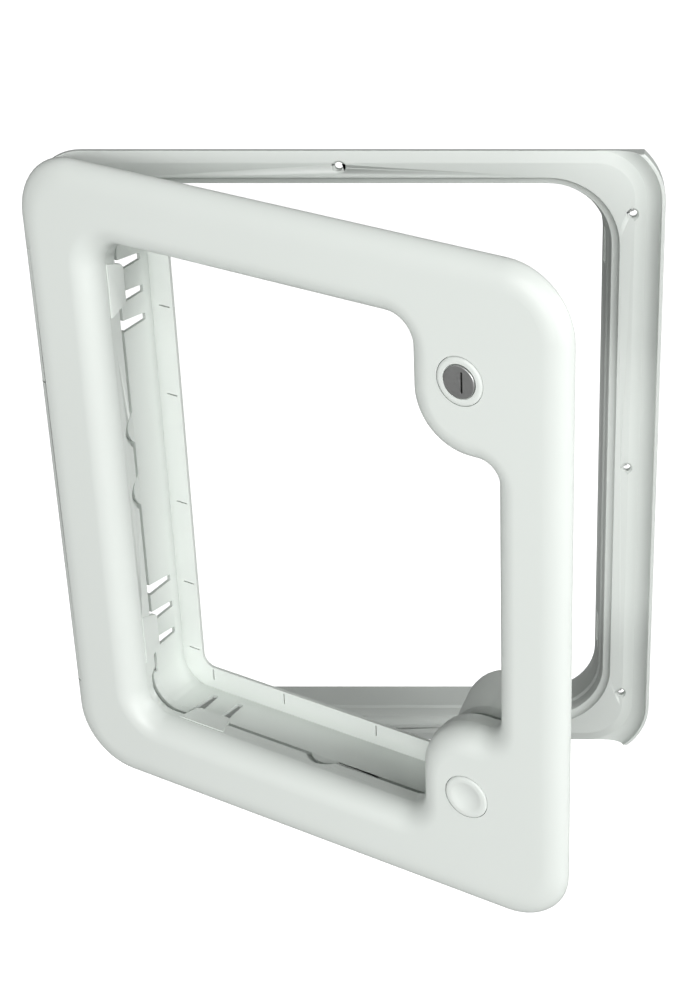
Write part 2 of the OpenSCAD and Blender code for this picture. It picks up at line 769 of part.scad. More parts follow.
module latch_coil(side) color(steel) unit_place(side)
  translate([-house_l + house_t + latch_wire, plate_y + nose_t / 4, 0]) rotate([0, 90, 0])
    coil(1.5, latch_wire, plate_x0 + house_l - house_t - 2 * latch_wire, 4);

wall_frame();
hinge_pin(1);  // upper_hinge_pin
hinge_pin(-1);  // lower_hinge_pin
door_outer_frame();
door_inner_frame();
door_seal();
hinge_cover(1);  // upper_hinge_cover
hinge_cover(-1);  // lower_hinge_cover
housing(1);  // lock_housing
housing_cover(1);  // lock_housing_cover
lock_button();
lock_barrel();
lock_cam();
lock_clip();
button_coil(1);  // lock_spring
latch(1);  // upper_latch
latch_coil(1);  // upper_latch_spring
housing(-1);  // button_housing
housing_cover(-1);  // button_housing_cover
push_button();
button_coil(-1);  // button_spring
latch(-1);  // lower_latch
latch_coil(-1);  // lower_latch_spring
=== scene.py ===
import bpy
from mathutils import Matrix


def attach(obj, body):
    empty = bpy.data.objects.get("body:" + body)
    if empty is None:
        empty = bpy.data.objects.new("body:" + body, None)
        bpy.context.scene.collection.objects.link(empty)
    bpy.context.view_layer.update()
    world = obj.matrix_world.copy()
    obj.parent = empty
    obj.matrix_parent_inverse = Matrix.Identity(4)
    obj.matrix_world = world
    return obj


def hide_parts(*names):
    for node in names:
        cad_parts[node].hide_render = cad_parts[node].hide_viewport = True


bl_info = {
    "name": "Cassette service door",
    "version": (1, 0, 0),
    "blender": (4, 5, 0),
    "location": "3D View > Sidebar > Service door",
    "description": "Builds the looks of a cassette service door around its CAD frame",
    "category": "Object",
}

import math

import bmesh
import bpy
from bpy.props import FloatProperty, FloatVectorProperty, PointerProperty
from mathutils import Matrix, Vector

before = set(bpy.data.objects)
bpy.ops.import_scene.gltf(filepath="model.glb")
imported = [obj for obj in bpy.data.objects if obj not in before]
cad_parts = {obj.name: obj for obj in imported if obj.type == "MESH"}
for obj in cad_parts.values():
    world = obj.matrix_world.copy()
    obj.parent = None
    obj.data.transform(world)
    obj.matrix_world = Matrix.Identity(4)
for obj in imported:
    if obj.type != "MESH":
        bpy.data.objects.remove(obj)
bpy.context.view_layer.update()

MM = 0.001
SIDES = (-1, 1)

# Sizes are in millimetres, as in the drawing, until a mesh is placed. Depths run backwards,
# from the wall's face in the wall frame and from the hinge axis in the door.

FRAME_W, FRAME_H, FRAME_CORNER = 336, 391, 28
HATCH_W, HATCH_H, HATCH_CORNER, HATCH_DROP = 298.8, 354.5, 36, 0.9
FLAT = 4.5
RIM = 2.5
SCREW_X, SCREW_Z, END_SCREW_Z = 160.8, 159.1, 186.8
SCREW_BORE_R, SCREW_HEAD_R, SCREW_SINK = 2.25, 3.9, 1.65

OPEN_ANGLE = math.radians(29.7)
DOOR_W, DOOR_H, DOOR_CORNER = 344, 400, 38
DOOR_X = 165.2
DOOR_FRONT, DOOR_BACK = -10, -2.5
SKIRT_FRONT, SKIRT_BACK = 3.2, 11.6
NOTCH_R, NOTCH_X, NOTCH_Z = 12.5, 162, (32, -9)
INNER_BACK = 44.4
SEAL_INSET = 13.6

HINGE = Vector((-166, -8, 0))
HINGE_Z = 102
HINGE_HALF = 42
HINGE_GAP_HALF = 41.3
HINGE_COVER_HALF = 40.7
KNUCKLE_R, PIN_BORE_R = 4, 2.05
FRAME_KNUCKLE_AT, FRAME_KNUCKLE_HALF = 33, 8
DOOR_KNUCKLE_HALF = 24.7

UNIT_X = 275.9
UNIT_Z = {1: 131.0, -1: -125.7}
BUTTON_FACE = -10.8
BUTTON_HOLE_R = 13.7
BARREL_FACE = -11.2

PHOTO_W, PHOTO_H = 700, 991
FOCAL_PX = 2185
CENTRE_PX = 524.45


# Outlines


def quarter(n, a0=0.0, a1=90.0):
    """Angles in radians from one to another in even steps."""
    return [math.radians(a0 + (a1 - a0) * i / n) for i in range(n + 1)]


def arc(corner, grow, fine):
    """Points of one corner of an outline; a corner that turns the other way bends inwards."""
    cx, cz, r, a0, a1 = corner
    r = r + grow if a1 > a0 else r - grow
    steps = fine if a1 > a0 else fine * 2
    return [
        (
            cx + r * math.cos(math.radians(a0 + (a1 - a0) * i / steps)),
            cz + r * math.sin(math.radians(a0 + (a1 - a0) * i / steps)),
        )
        for i in range(steps + 1)
    ]


def outline(corners, grow=0.0, fine=14):
    return [p for c in corners for p in arc(c, grow, fine)]


def rounded_box(w, h, r, x=0.0, z=0.0):
    signs = ((1, 1), (-1, 1), (-1, -1), (1, -1))
    return [
        (x + sx * (w / 2 - r), z + sz * (h / 2 - r), r, 90 * q, 90 * q + 90)
        for q, (sx, sz) in enumerate(signs)
    ]


def opening(left, right, height, corner, lobe_w, lobe_z, lobe_r, fillet, bar_fillet):
    """The door's opening from its lower left corner round by the right, with two lobes."""
    h, lobe_x = height / 2, right - lobe_w
    return [
        (left + corner, -h + corner, corner, 180, 270),
        (lobe_x - fillet, -h + fillet, fillet, 270, 360),
        (lobe_x + lobe_r, -lobe_z - lobe_r, lobe_r, 180, 90),
        (right - bar_fillet, -lobe_z + bar_fillet, bar_fillet, 270, 360),
        (right - bar_fillet, lobe_z - bar_fillet, bar_fillet, 0, 90),
        (lobe_x + lobe_r, lobe_z + lobe_r, lobe_r, 270, 180),
        (lobe_x - fillet, h - fillet, fillet, 0, 90),
        (left + corner, h - corner, corner, 90, 180),
    ]


SEAT = rounded_box(FRAME_W, FRAME_H, FRAME_CORNER)
HATCH = rounded_box(HATCH_W, HATCH_H, HATCH_CORNER, 0, -HATCH_DROP)
DOOR = rounded_box(DOOR_W, DOOR_H, DOOR_CORNER, DOOR_X)
OPENING = opening(
    left=41.8,
    right=292.6,
    height=309,
    corner=16,
    lobe_w=50,
    lobe_z=84,
    lobe_r=35,
    fillet=14,
    bar_fillet=10,
)


def ring(corners, grow, y, fine=14):
    return [Vector((x, y, z)) for x, z in outline(corners, grow, fine)]


# Meshes


def piece(name, bm):
    """An object from a bmesh, with its faces turned outwards."""
    bmesh.ops.remove_doubles(bm, verts=bm.verts, dist=1e-5)
    bmesh.ops.recalc_face_normals(bm, faces=bm.faces)
    mesh = bpy.data.meshes.new(name)
    bm.to_mesh(mesh)
    bm.free()
    obj = bpy.data.objects.new(name, mesh)
    bpy.context.scene.collection.objects.link(obj)
    return obj


def rings_to_faces(bm, rings, closed):
    rows = [[bm.verts.new(p) for p in r] for r in rings]
    n = len(rows[0])
    pairs = list(zip(rows, rows[1:])) + ([(rows[-1], rows[0])] if closed else [])
    for a, b in pairs:
        for j in range(n):
            k = (j + 1) % n
            bm.faces.new((a[j], b[j], b[k], a[k]))
    return rows


def band(name, rings):
    """A closed moulding whose section runs round an outline."""
    bm = bmesh.new()
    rings_to_faces(bm, rings, True)
    return piece(name, bm)


def solid(name, rings):
    """A solid through rings, the first ring in front."""
    bm = bmesh.new()
    rows = rings_to_faces(bm, rings, False)
    bm.faces.new(rows[0])
    bm.faces.new(rows[-1])
    return piece(name, bm)


def prism(name, points, y0, y1):
    return solid(name, [[Vector((x, y, z)) for x, z in points] for y in (y0, y1)])


def block(name, x0, x1, y0, y1, z0, z1):
    return prism(name, [(x0, z0), (x1, z0), (x1, z1), (x0, z1)], y0, y1)


def upright(name, points, z0, z1):
    """A prism of (x, y) points between two heights."""
    return solid(name, [[Vector((x, y, z)) for x, y in points] for z in (z0, z1)])


def across(name, points, x0, x1):
    """A prism of (y, z) points between two places along X."""
    return solid(name, [[Vector((x, y, z)) for y, z in points] for x in (x0, x1)])


def round_points(r, n, cx=0.0, cy=0.0, a0=0.0, a1=360.0):
    count = n if a1 - a0 >= 360 else n + 1
    return [
        (
            cx + r * math.cos(math.radians(a0 + (a1 - a0) * i / n)),
            cy + r * math.sin(math.radians(a0 + (a1 - a0) * i / n)),
        )
        for i in range(count)
    ]


def turned(name, profile, x=0.0, z=0.0, n=96):
    """A turned piece about an axis along Y, from (radius, y) points that end on the axis."""
    bm = bmesh.new()
    rows = []
    for r, y in profile:
        if r < 1e-6:
            rows.append([bm.verts.new((x, y, z))] * n)
        else:
            rows.append([bm.verts.new((x + a, y, z + b)) for a, b in round_points(r, n)])
    for a, b in zip(rows, rows[1:]):
        for j in range(n):
            k = (j + 1) % n
            corners = [a[j], b[j], b[k], a[k]]
            unique = [v for i, v in enumerate(corners) if v not in corners[:i]]
            if len(unique) > 2:
                bm.faces.new(unique)
    return piece(name, bm)


def applied(obj):
    """The object with its modifiers turned into plain mesh."""
    bpy.context.view_layer.update()
    graph = bpy.context.evaluated_depsgraph_get()
    made = bpy.data.meshes.new_from_object(obj.evaluated_get(graph))
    old, obj.data = obj.data, made
    obj.modifiers.clear()
    bpy.data.meshes.remove(old)
    return obj


def combine(obj, tools, operation="DIFFERENCE"):
    for tool in tools:
        m = obj.modifiers.new("combine", "BOOLEAN")
        m.operation, m.solver, m.object = operation, "EXACT", tool
    applied(obj)
    for tool in tools:
        bpy.data.objects.remove(tool)
    return obj


def soften(obj, width=0.35, angle=32, segments=2):
    """Small roundings on sharp edges and clean shading on flat faces."""
    mesh = obj.data
    for p in mesh.polygons:
        p.use_smooth = True
    if width:
        m = obj.modifiers.new("edges", "BEVEL")
        m.width, m.segments, m.limit_method = width, segments, "ANGLE"
        m.angle_limit, m.harden_normals, m.miter_outer = math.radians(angle), False, "MITER_ARC"
        applied(obj)
    obj.data.set_sharp_from_angle(angle=math.radians(angle + 8))
    m = obj.modifiers.new("shading", "WEIGHTED_NORMAL")
    m.keep_sharp, m.weight = True, 60
    return applied(obj)


def door_place():
    return (
        Matrix.Scale(MM, 4) @ Matrix.Translation(HINGE) @ Matrix.Rotation(-OPEN_ANGLE, 4, "Z")
    )


def unit_place(side):
    flip = Matrix.Scale(-1, 4, (0, 0, 1)) if side < 0 else Matrix.Identity(4)
    return door_place() @ Matrix.Translation((UNIT_X, 0, UNIT_Z[side])) @ flip


def place(obj, matrix):
    """Moves the mesh, and turns its faces back where the matrix mirrors it."""
    obj.data.transform(matrix)
    if matrix.determinant() < 0:
        obj.data.flip_normals()
    obj.data.update()
    return obj


def dress(obj, material):
    obj.data.materials.clear()
    obj.data.materials.append(material)
    return obj


def finished(obj, body, nodes, material):
    """Hands a finished piece to its CAD body and hides the nodes that it stands for."""
    dress(obj, material)
    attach(obj, body)
    if nodes:
        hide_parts(*nodes)
    return obj


# Node trees


def add(tree, kind, links=None, **settings):
    n = tree.nodes.new(kind)
    for key, value in settings.items():
        setattr(n, key, value)
    for key, value in (links or {}).items():
        if isinstance(value, bpy.types.NodeSocket):
            tree.links.new(value, n.inputs[key])
        else:
            n.inputs[key].default_value = value
    return n


def geometry_tree(name, sizes):
    tree = bpy.data.node_groups.new(name, "GeometryNodeTree")
    for label, kind, value in sizes:
        socket = tree.interface.new_socket(label, in_out="INPUT", socket_type=kind)
        if value is not None:
            socket.default_value = value
    tree.interface.new_socket("Geometry", in_out="OUTPUT", socket_type="NodeSocketGeometry")
    return tree, add(tree, "NodeGroupInput"), add(tree, "NodeGroupOutput")


def close_tree(tree, out, geometry, material):
    real = add(tree, "GeometryNodeRealizeInstances", {0: geometry})
    painted = add(tree, "GeometryNodeSetMaterial", {0: real.outputs[0], "Material": material})
    tree.links.new(painted.outputs[0], out.inputs[0])


def grown(name, tree, values, points=((0, 0, 0),)):
    """An object whose mesh comes from a tree that works on the given points."""
    mesh = bpy.data.meshes.new(name)
    mesh.from_pydata([Vector(p) for p in points], [], [])
    obj = bpy.data.objects.new(name, mesh)
    bpy.context.scene.collection.objects.link(obj)
    m = obj.modifiers.new("build", "NODES")
    m.node_group = tree
    for item in tree.interface.items_tree:
        if item.in_out == "INPUT" and item.name in values:
            m[item.identifier] = values[item.name]
    return applied(obj)


# Finishes

BUMP_HEIGHT = 0.0001


def new_finish(name):
    """A material, its tree, its shader and the place on the object that its marks follow."""
    mat = bpy.data.materials.new(name)
    mat.use_nodes = True
    tree = mat.node_tree
    at = add(tree, "ShaderNodeTexCoord").outputs["Object"]
    return mat, tree, tree.nodes["Principled BSDF"], at


def noise(tree, at, scale, detail=2.0):
    links = {"Vector": at, "Scale": scale, "Detail": detail}
    return add(tree, "ShaderNodeTexNoise", links).outputs[0]


def tones(tree, shader, factor, dark, light):
    """Drifts the colour between two tones."""
    links = {0: factor, 6: tuple(dark) + (1,), 7: tuple(light) + (1,)}
    mix = add(tree, "ShaderNodeMix", links, data_type="RGBA")
    tree.links.new(mix.outputs[2], shader.inputs["Base Color"])


def gloss(tree, shader, factor, low, high):
    """Lets the roughness wander between two values."""
    spread = add(tree, "ShaderNodeMapRange", {0: factor, 3: low, 4: high})
    tree.links.new(spread.outputs[0], shader.inputs["Roughness"])


def relief(tree, shader, height, strength):
    links = {"Strength": strength, "Distance": BUMP_HEIGHT, "Height": height}
    tree.links.new(add(tree, "ShaderNodeBump", links).outputs[0], shader.inputs["Normal"])


def plastic(name, colour, rough=0.34, grain=0.12, tone=0.025):
    """Moulded plastic: slow shifts in tone, fine mould grain and slightly uneven gloss."""
    mat, tree, shader, at = new_finish(name)
    shader.inputs["IOR"].default_value = 1.5
    shader.inputs["Specular IOR Level"].default_value = 0.45
    dark = [c * (1 - tone) for c in colour]
    light = [min(1.0, c * (1 + tone)) for c in colour]
    tones(tree, shader, noise(tree, at, 9.0, 3.0), dark, light)
    gloss(tree, shader, noise(tree, at, 420.0), rough - 0.05, rough + 0.06)
    relief(tree, shader, noise(tree, at, 1500.0, 1.0), grain)
    return mat


def metal(name, colour, rough, brushed, axis=(1, 1, 1)):
    """Metal with fine marks, drawn out across the given axis."""
    mat, tree, shader, at = new_finish(name)
    shader.inputs["Metallic"].default_value = 1.0
    stretch = add(tree, "ShaderNodeMapping", {"Vector": at, "Scale": axis})
    marks = noise(tree, stretch.outputs[0], 900.0, 4.0)
    dark = [c * 0.9 for c in colour]
    light = [min(1, c * 1.06) for c in colour]
    tones(tree, shader, noise(tree, at, 60.0, 3.0), dark, light)
    gloss(tree, shader, marks, rough - 0.1, rough + 0.12)
    relief(tree, shader, marks, brushed)
    return mat


def rubber(name, colour):
    """Soft seal rubber: dull, with a dusty bloom in patches."""
    mat, tree, shader, at = new_finish(name)
    shader.inputs["Specular IOR Level"].default_value = 0.3
    dust = noise(tree, at, 45.0, 6.0)
    tones(tree, shader, dust, colour, [c * 1.7 for c in colour])
    gloss(tree, shader, dust, 0.6, 0.85)
    relief(tree, shader, noise(tree, at, 2200.0), 0.3)
    return mat


def finish_of(key):
    """The finish of that name, made once."""
    looks = bpy.context.scene.service_door_looks
    makers = {
        "white": lambda: plastic("white moulding", looks.plastic_colour, looks.plastic_rough),
        "housing": lambda: plastic("housing plastic", looks.housing_colour, 0.5, 0.3, 0.04),
        "steel": lambda: metal("zinc plated steel", looks.steel_colour, 0.32, 0.12, (1, 1, 6)),
        "barrel": lambda: metal("cast barrel", looks.barrel_colour, 0.36, 0.2),
        "rubber": lambda: rubber("seal rubber", looks.rubber_colour),
    }
    made = bpy.data.materials.get("finish " + key)
    if made is None:
        made = makers[key]()
        made.name = "finish " + key
    return made


# Sizes and colours that a user would change


def length(name, description, mm):
    return FloatProperty(
        name=name, description=description, default=mm * MM, unit="LENGTH", precision=4
    )


def colour(name, description, value):
    return FloatVectorProperty(
        name=name, description=description, default=value, subtype="COLOR", size=3, min=0, max=1
    )


class ServiceDoorFrameSizes(bpy.types.PropertyGroup):
    cove_width: length("Cove width", "Width of the cove around the hatch", 4.1)
    cove_depth: length("Cove depth", "Depth of the cove around the hatch", 3.2)
    lip_height: length("Side lip height", "Height of the lip on the right above the rim", 6)
    edge_round: length("Edge rounding", "Radius of the moulding's small edges", 0.35)


class ServiceDoorSizes(bpy.types.PropertyGroup):
    edge_width: length("Outer rounding", "Width over which the door's edge rounds off", 16)
    flare_width: length("Inner rounding", "Width over which the opening's edge rounds off", 15)
    slot_height: length("Slot height", "Height of a ratchet slot at its front end", 7.5)
    dish_depth: length("Dish depth", "Depth of the thumb dish in the push button", 1.6)


class ServiceDoorLooks(bpy.types.PropertyGroup):
    plastic_colour: colour("White plastic", "Colour of the mouldings", (0.74, 0.78, 0.745))
    plastic_rough: FloatProperty(
        name="Plastic roughness",
        description="Roughness of the mouldings",
        default=0.34,
        min=0.05,
        max=1,
    )
    housing_colour: colour("Housing plastic", "Colour of the latch housings", (0.55, 0.58, 0.56))
    steel_colour: colour("Steel", "Colour of pins, latches and springs", (0.62, 0.63, 0.64))
    barrel_colour: colour("Barrel", "Colour of the lock barrel", (0.6, 0.61, 0.6))
    rubber_colour: colour("Seal", "Colour of the door seal", (0.03, 0.032, 0.035))
    light_power: FloatProperty(
        name="Light", description="Strength of the studio lights", default=1.0, min=0, max=5
    )


# The wall frame


def screw_cutters():
    """Countersunk bores on the frame's eight screw places."""
    bore_end, head_run = 20.0, 4.0
    tree, given, out = geometry_tree(
        "screw bores",
        [
            ("Geometry", "NodeSocketGeometry", None),
            ("Bore radius", "NodeSocketFloat", SCREW_BORE_R),
            ("Head radius", "NodeSocketFloat", SCREW_HEAD_R),
            ("Sink depth", "NodeSocketFloat", SCREW_SINK),
        ],
    )
    bore = add(
        tree,
        "GeometryNodeMeshCylinder",
        {"Vertices": 48, "Radius": given.outputs["Bore radius"], "Depth": bore_end},
    )
    head = add(
        tree,
        "GeometryNodeMeshCone",
        {
            "Vertices": 48,
            "Radius Top": given.outputs["Head radius"],
            "Radius Bottom": given.outputs["Bore radius"],
            "Depth": given.outputs["Sink depth"],
        },
    )
    top = add(
        tree,
        "GeometryNodeMeshCylinder",
        {"Vertices": 48, "Radius": given.outputs["Head radius"], "Depth": head_run},
    )
    lift = add(tree, "ShaderNodeCombineXYZ", {"Z": given.outputs["Sink depth"]})
    rise = add(tree, "ShaderNodeVectorMath", {0: lift.outputs[0], 1: (0, 0, head_run / 2)})
    raised = add(
        tree,
        "GeometryNodeTransform",
        {"Geometry": top.outputs["Mesh"], "Translation": rise.outputs[0]},
    )
    both = add(tree, "GeometryNodeMeshBoolean", operation="UNION", solver="EXACT")
    for part in (bore.outputs["Mesh"], head.outputs["Mesh"], raised.outputs["Geometry"]):
        tree.links.new(part, both.inputs[1])
    level = add(
        tree,
        "GeometryNodeTransform",
        {"Geometry": both.outputs["Mesh"], "Rotation": (math.radians(90), 0, 0)},
    )
    spread = add(
        tree,
        "GeometryNodeInstanceOnPoints",
        {"Points": given.outputs["Geometry"], "Instance": level.outputs["Geometry"]},
    )
    close_tree(tree, out, spread.outputs[0], finish_of("white"))
    depth = SCREW_SINK - FLAT
    points = [(sx * SCREW_X, depth, q * SCREW_Z) for sx in SIDES for q in (-1, 0, 1)]
    points += [(0, depth, s * END_SCREW_Z) for s in SIDES]
    return grown("screw_cutter", tree, {}, points)


def pin_bores(x=0.0, y=0.0):
    """Bores for both hinge pins."""
    return [
        upright(
            "bore",
            round_points(PIN_BORE_R, 32, x, y),
            side * HINGE_Z - HINGE_HALF,
            side * HINGE_Z + HINGE_HALF,
        )
        for side in SIDES
    ]


def frame_rows(cove_w, cove_d):
    """The frame's section as (outline, outwards, depth), from the outer edge round the collar."""
    foot = cove_d - FLAT
    edge = [(0, 0), (0, 0.3 - RIM), (-0.1, 0.05 - RIM), (-0.4, -RIM - 0.1)]
    border = [(-6.1, 0.12 - FLAT), (-6.5, 0.03 - FLAT), (-7, -FLAT)]
    cove = [(cove_w + 0.6, -FLAT), (cove_w + 0.2, 0.07 - FLAT), (cove_w + 0.02, 0.3 - FLAT)]
    cove += [(cove_w * math.cos(t), -FLAT + cove_d * math.sin(t)) for t in quarter(10, 9, 90)]
    ledge = [(-0.12, foot + 0.1), (-0.3, foot + 0.5), (-1.2, 1.7), (-1.55, 5), (-1.8, 5.3)]
    inside = [(-2.45, 6.8), (-2.58, 7), (-3.1, 19.8), (-4.3, 24.9), (-4.1, 25.2)]
    outside = [(-2.5, 25.2), (-2.3, 24.9), (-1.1, 19.8), (-0.58, 7), (0.45, 5), (0.8, 1.7), (2, 0)]
    rows = [(SEAT, g, y) for g, y in edge + border]
    return rows + [(HATCH, g, y) for g, y in cove + ledge + inside + outside]


def side_lip(height):
    """The lip that curves forward along the frame's right side, level with the frame's ends."""
    reach, sweep, root = 10.2, 8, -3
    top, foot = RIM + height, RIM - 0.1
    section = [(root, 0), (reach, 0), (reach, top - 1.0), (10.0, top - 0.4), (9.5, top), (8.2, top)]
    section += [
        (sweep * math.sin(t), foot + (top - foot) * (1 - math.cos(t))) for t in quarter(16, 88, 0)
    ]
    section += [(root, foot)]
    r = FRAME_CORNER
    x, z = FRAME_W / 2 - r, FRAME_H / 2 - r
    path = [(x + math.cos(a) * r, z + math.sin(a) * r, a) for a in quarter(20, 90, 0)]
    path += [(x + math.cos(a) * r, -z + math.sin(a) * r, a) for a in quarter(20, 0, -90)]
    lip = solid(
        "side_lip",
        [
            [Vector((x + math.cos(a) * u, -h, z + math.sin(a) * u)) for u, h in section]
            for x, z, a in path
        ],
    )
    return combine(lip, [block("keep", 100, 190, -20, 20, -FRAME_H / 2, FRAME_H / 2)], "INTERSECT")


def knuckle(x, y, web_box, low, high):
    """A hinge knuckle on its web, a box of (x, x, y, y)."""
    body = upright("knuckle", round_points(KNUCKLE_R, 40, x, y), low, high)
    return combine(body, [block("web", *web_box, low, high)], "UNION")


class SERVICEDOOR_OT_wall_frame(bpy.types.Operator):
    """Build the frame that is screwed to the wall"""

    bl_idname = "servicedoor.wall_frame"
    bl_label = "Wall frame"

    def execute(self, context):
        s = context.scene.service_door_frame
        rows = frame_rows(s.cove_width / MM, s.cove_depth / MM)
        body = band("wall_frame_moulding", [ring(c, g, y) for c, g, y in rows])
        lip = side_lip(s.lip_height / MM)
        knuckles = []
        for side in SIDES:
            for end in SIDES:
                z = side * HINGE_Z + end * FRAME_KNUCKLE_AT
                web = (HINGE.x, HINGE.x + 3.4, -6, -0.5)
                low, high = z - FRAME_KNUCKLE_HALF, z + FRAME_KNUCKLE_HALF
                knuckles.append(knuckle(HINGE.x, HINGE.y, web, low, high))
        notches = [
            block("notch", -170, HINGE.x, -6, 1, z - HINGE_HALF, z + HINGE_HALF)
            for z in (-HINGE_Z, HINGE_Z)
        ]
        strike, strike_half = (144.1, 151.4, 11.3, 22), 11
        windows = [
            block("window", *strike, UNIT_Z[side] - strike_half, UNIT_Z[side] + strike_half)
            for side in SIDES
        ]
        combine(body, notches)
        combine(body, [lip] + knuckles, "UNION")
        combine(body, windows + pin_bores(HINGE.x, HINGE.y) + [screw_cutters()])
        soften(body, s.edge_round / MM)
        place(body, Matrix.Scale(MM, 4))
        finished(body, "wall", ["wall_frame"], finish_of("white"))
        return {"FINISHED"}


# The door


def tab_points():
    """A tab of the skirt in (back, along) points, narrower towards its tip."""
    half_w, slope, lead, tip = 13.7, 0.34, -7.2, (6.0, 10.3)
    half = [(d, half_w - slope * d) for d in (lead, 4.6)] + [tip]
    return [(y, w) for y, w in half] + [(y, -w) for y, w in half[::-1]]


def skirt_tabs():
    """Two tabs on the skirt's left wall and one on its bottom wall."""
    shape = [(SKIRT_BACK + y, w) for y, w in tab_points()]
    tabs = [across("tab", [(y, z + w) for y, w in shape], 39.6, 42.3) for z in (122.2, -106.3)]
    return tabs + [upright("tab", [(80 + w, y) for y, w in shape], -156.7, -154)]


def opening_skirt():
    """The skirt, with half-round notches and cut back round the lower left corner."""
    skirt = combine(
        prism("skirt", outline(OPENING, 2.2), SKIRT_FRONT, SKIRT_BACK),
        [prism("core", outline(OPENING, 0), 2, 13)],
    )
    notch_y = 19.1
    cut, clear = 7.9, 12.6
    notches = [across("notch", round_points(NOTCH_R, 64, notch_y, z), 36, 48) for z in NOTCH_Z]
    notches.append(upright("notch", round_points(NOTCH_R, 64, NOTCH_X, notch_y), -160, -148))
    left = [(cut, -157.5), (cut, -134), (clear, -127.5), (clear, -157.5)]
    foot = [(38.8, cut), (65.8, cut), (72.3, clear), (38.8, clear)]
    notches.append(across("relief", left, 38.8, 58.8))
    notches.append(upright("relief", foot, -157.5, -151.5))
    return combine(skirt, notches)


def hinge_gaps():
    """Room for the wall frame's knuckles at the door's left edge."""
    gaps = []
    for z in (-HINGE_Z, HINGE_Z):
        low, high = z - HINGE_GAP_HALF, z + HINGE_GAP_HALF
        gaps.append(block("gap", -8, -1, -12, 0, low, high))
        gaps.append(upright("gap", round_points(KNUCKLE_R + 0.6, 40), low, high))
    return gaps


class SERVICEDOOR_OT_outer_frame(bpy.types.Operator):
    """Build the door's pillow-shaped outer frame"""

    bl_idname = "servicedoor.outer_frame"
    bl_label = "Door outer frame"

    def execute(self, context):
        s = context.scene.service_door_sizes
        edge, flare = s.edge_width / MM, s.flare_width / MM
        thick, flare_depth, rim_back = DOOR_BACK - DOOR_FRONT, 14.2, 4.2
        body = solid(
            "door_outer_moulding",
            [
                ring(DOOR, -edge * (1 - math.sin(t)), DOOR_BACK - thick * math.cos(t))
                for t in quarter(18)
            ],
        )
        combine(body, [prism("rim", outline(OPENING, 5), -3.5, rim_back)], "UNION")
        flares = [
            ring(OPENING, flare * (1 - math.sin(t)), DOOR_FRONT + flare_depth * (1 - math.cos(t)))
            for t in quarter(18)
        ]
        mouth = [ring(OPENING, flare, DOOR_FRONT - 1)]
        hole = solid("hole", mouth + flares + [ring(OPENING, 0, 5)])
        pocket = combine(
            prism("pocket", outline(DOOR, -5.5), -7, 0),
            [prism("core", outline(OPENING, 8.5), -8, 1)],
        )
        combine(body, [hole, pocket] + hinge_gaps())
        combine(body, [opening_skirt()] + skirt_tabs(), "UNION")
        web = (-0.5, 3.5, -8, 0)
        knuckles = [
            knuckle(0, 0, web, z - DOOR_KNUCKLE_HALF, z + DOOR_KNUCKLE_HALF)
            for z in (-HINGE_Z, HINGE_Z)
        ]
        combine(body, knuckles, "UNION")
        seat = [(0, -12), (BUTTON_HOLE_R, -12), (BUTTON_HOLE_R, -0.5), (0, -0.5)]
        holes = [turned("hole", seat, UNIT_X, UNIT_Z[side]) for side in SIDES]
        combine(body, holes + pin_bores())
        soften(body, 0.35)
        place(body, door_place())
        finished(body, "door", ["door_outer_frame"], finish_of("white"))
        return {"FINISHED"}


def slot_cutters():
    """Ratchet slots: wedges through the left wall and, turned, through both end walls."""
    height = bpy.context.scene.service_door_sizes.slot_height / MM
    front, back, far = 14, 36, 0.8
    wedge = [(front, 0), (back, far), (back, far + 0.55 * height), (front, height)]
    left = [
        across("slot", [(y, z + q) for y, q in wedge], 33, 46)
        for z in (128.4, 109, 91.6, -82.3, -101, -119.8)
    ]
    ends = [
        upright("slot", [(x - q, y) for y, q in wedge], side * 157 - 6, side * 157 + 6)
        for x in (70, 89)
        for side in SIDES
    ]
    return left + ends


def slit_cutters():
    """Thin slits through the flange, repeated on points."""
    long, through, thin = 7.5, 4.0, 0.8
    tree, given, out = geometry_tree(
        "flange slits",
        [
            ("Geometry", "NodeSocketGeometry", None),
            ("Size", "NodeSocketVector", (long, through, thin)),
        ],
    )
    bar = add(tree, "GeometryNodeMeshCube", {"Size": given.outputs["Size"]})
    spread = add(
        tree,
        "GeometryNodeInstanceOnPoints",
        {"Points": given.outputs["Geometry"], "Instance": bar.outputs["Mesh"]},
    )
    close_tree(tree, out, spread.outputs[0], finish_of("white"))
    y, half = 43.4, thin / 2
    left = [(48.25, y, z + half) for z in (99.4, 43.3, -28.3, -84.4, -132)]
    ends = [(x + half, y, side * 146.95) for x in (61.2, 114.3, 181) for side in SIDES]
    turned_bar = {"Size": (thin, through, long)}
    return [grown("slit", tree, {}, left), grown("slit", tree, turned_bar, ends)]


def tongues():
    """Half-round tongues behind the skirt's notches, and the edge at the lower left corner."""
    centre_y, root_y, root_half = 24.2, 18.5, 9.6
    rise = [(centre_y - NOTCH_R * math.cos(a), NOTCH_R * math.sin(a)) for a in quarter(20, -50, 50)]
    rise += [(root_y, root_half), (root_y, -root_half)]
    made = [across("tongue", [(y, z + q) for y, q in rise], 37.15, 39.25) for z in NOTCH_Z]
    made.append(upright("tongue", [(NOTCH_X + q, y) for y, q in rise], -159.15, -157.05))
    corner = combine(
        prism("corner_edge", outline(OPENING, 4.65), 12.6, root_y),
        [prism("core", outline(OPENING, 2.55), 10, 20)],
    )
    part = prism("part", [(30, -165), (64, -165), (64, -150), (50, -136), (30, -136)], 11, 20)
    return made + [combine(corner, [part], "INTERSECT")]


def lobe_zone(y0, y1):
    """The room around both lobes."""
    near, far = 72, 164.5
    low, high = (
        block("zone", 234.1, 304.1, y0, y1, z0, z1) for z0, z1 in ((-far, -near), (near, far))
    )
    return combine(low, [high], "UNION")


